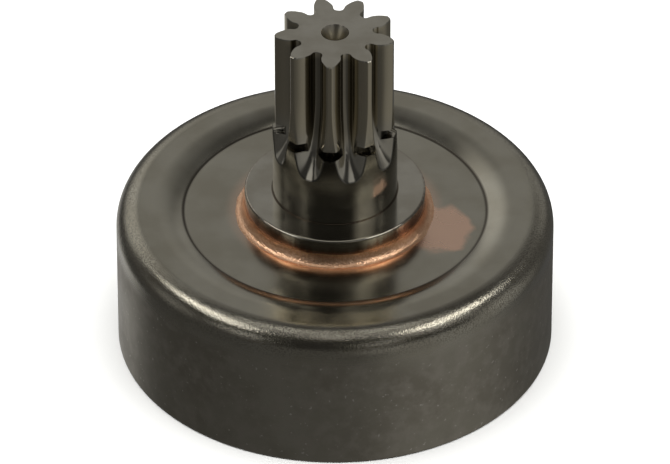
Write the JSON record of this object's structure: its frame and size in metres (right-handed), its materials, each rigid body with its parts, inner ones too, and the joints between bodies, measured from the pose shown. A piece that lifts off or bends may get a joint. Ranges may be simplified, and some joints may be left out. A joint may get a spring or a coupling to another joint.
{
  "type": "clutch drum",
  "caption": "Drawn steel cup with a pinion shaft copper-brazed to its face; clutch shoes grip the cup's bore, a bearing carries the shaft and the pinion drives a gear.",
  "frame": {"origin": "on the shaft's axis, in the plane of the cup's open rim", "axes": "+Z along the shaft from the rim to the pinion's end; -Y towards the picture's camera"},
  "size_m": [0.0528, 0.0528, 0.0443],
  "materials": {
    "drawn_steel": "dark satin drawn sheet steel",
    "turned_steel": "turned and hobbed steel, darkened by the brazing furnace",
    "braze_copper": "furnace copper braze, grainy"
  },
  "bodies": {
    "root": {"drum_cup": "drawn_steel", "pinion_shaft": "turned_steel", "braze_fillet": "braze_copper"}
  },
  "joints": []
}
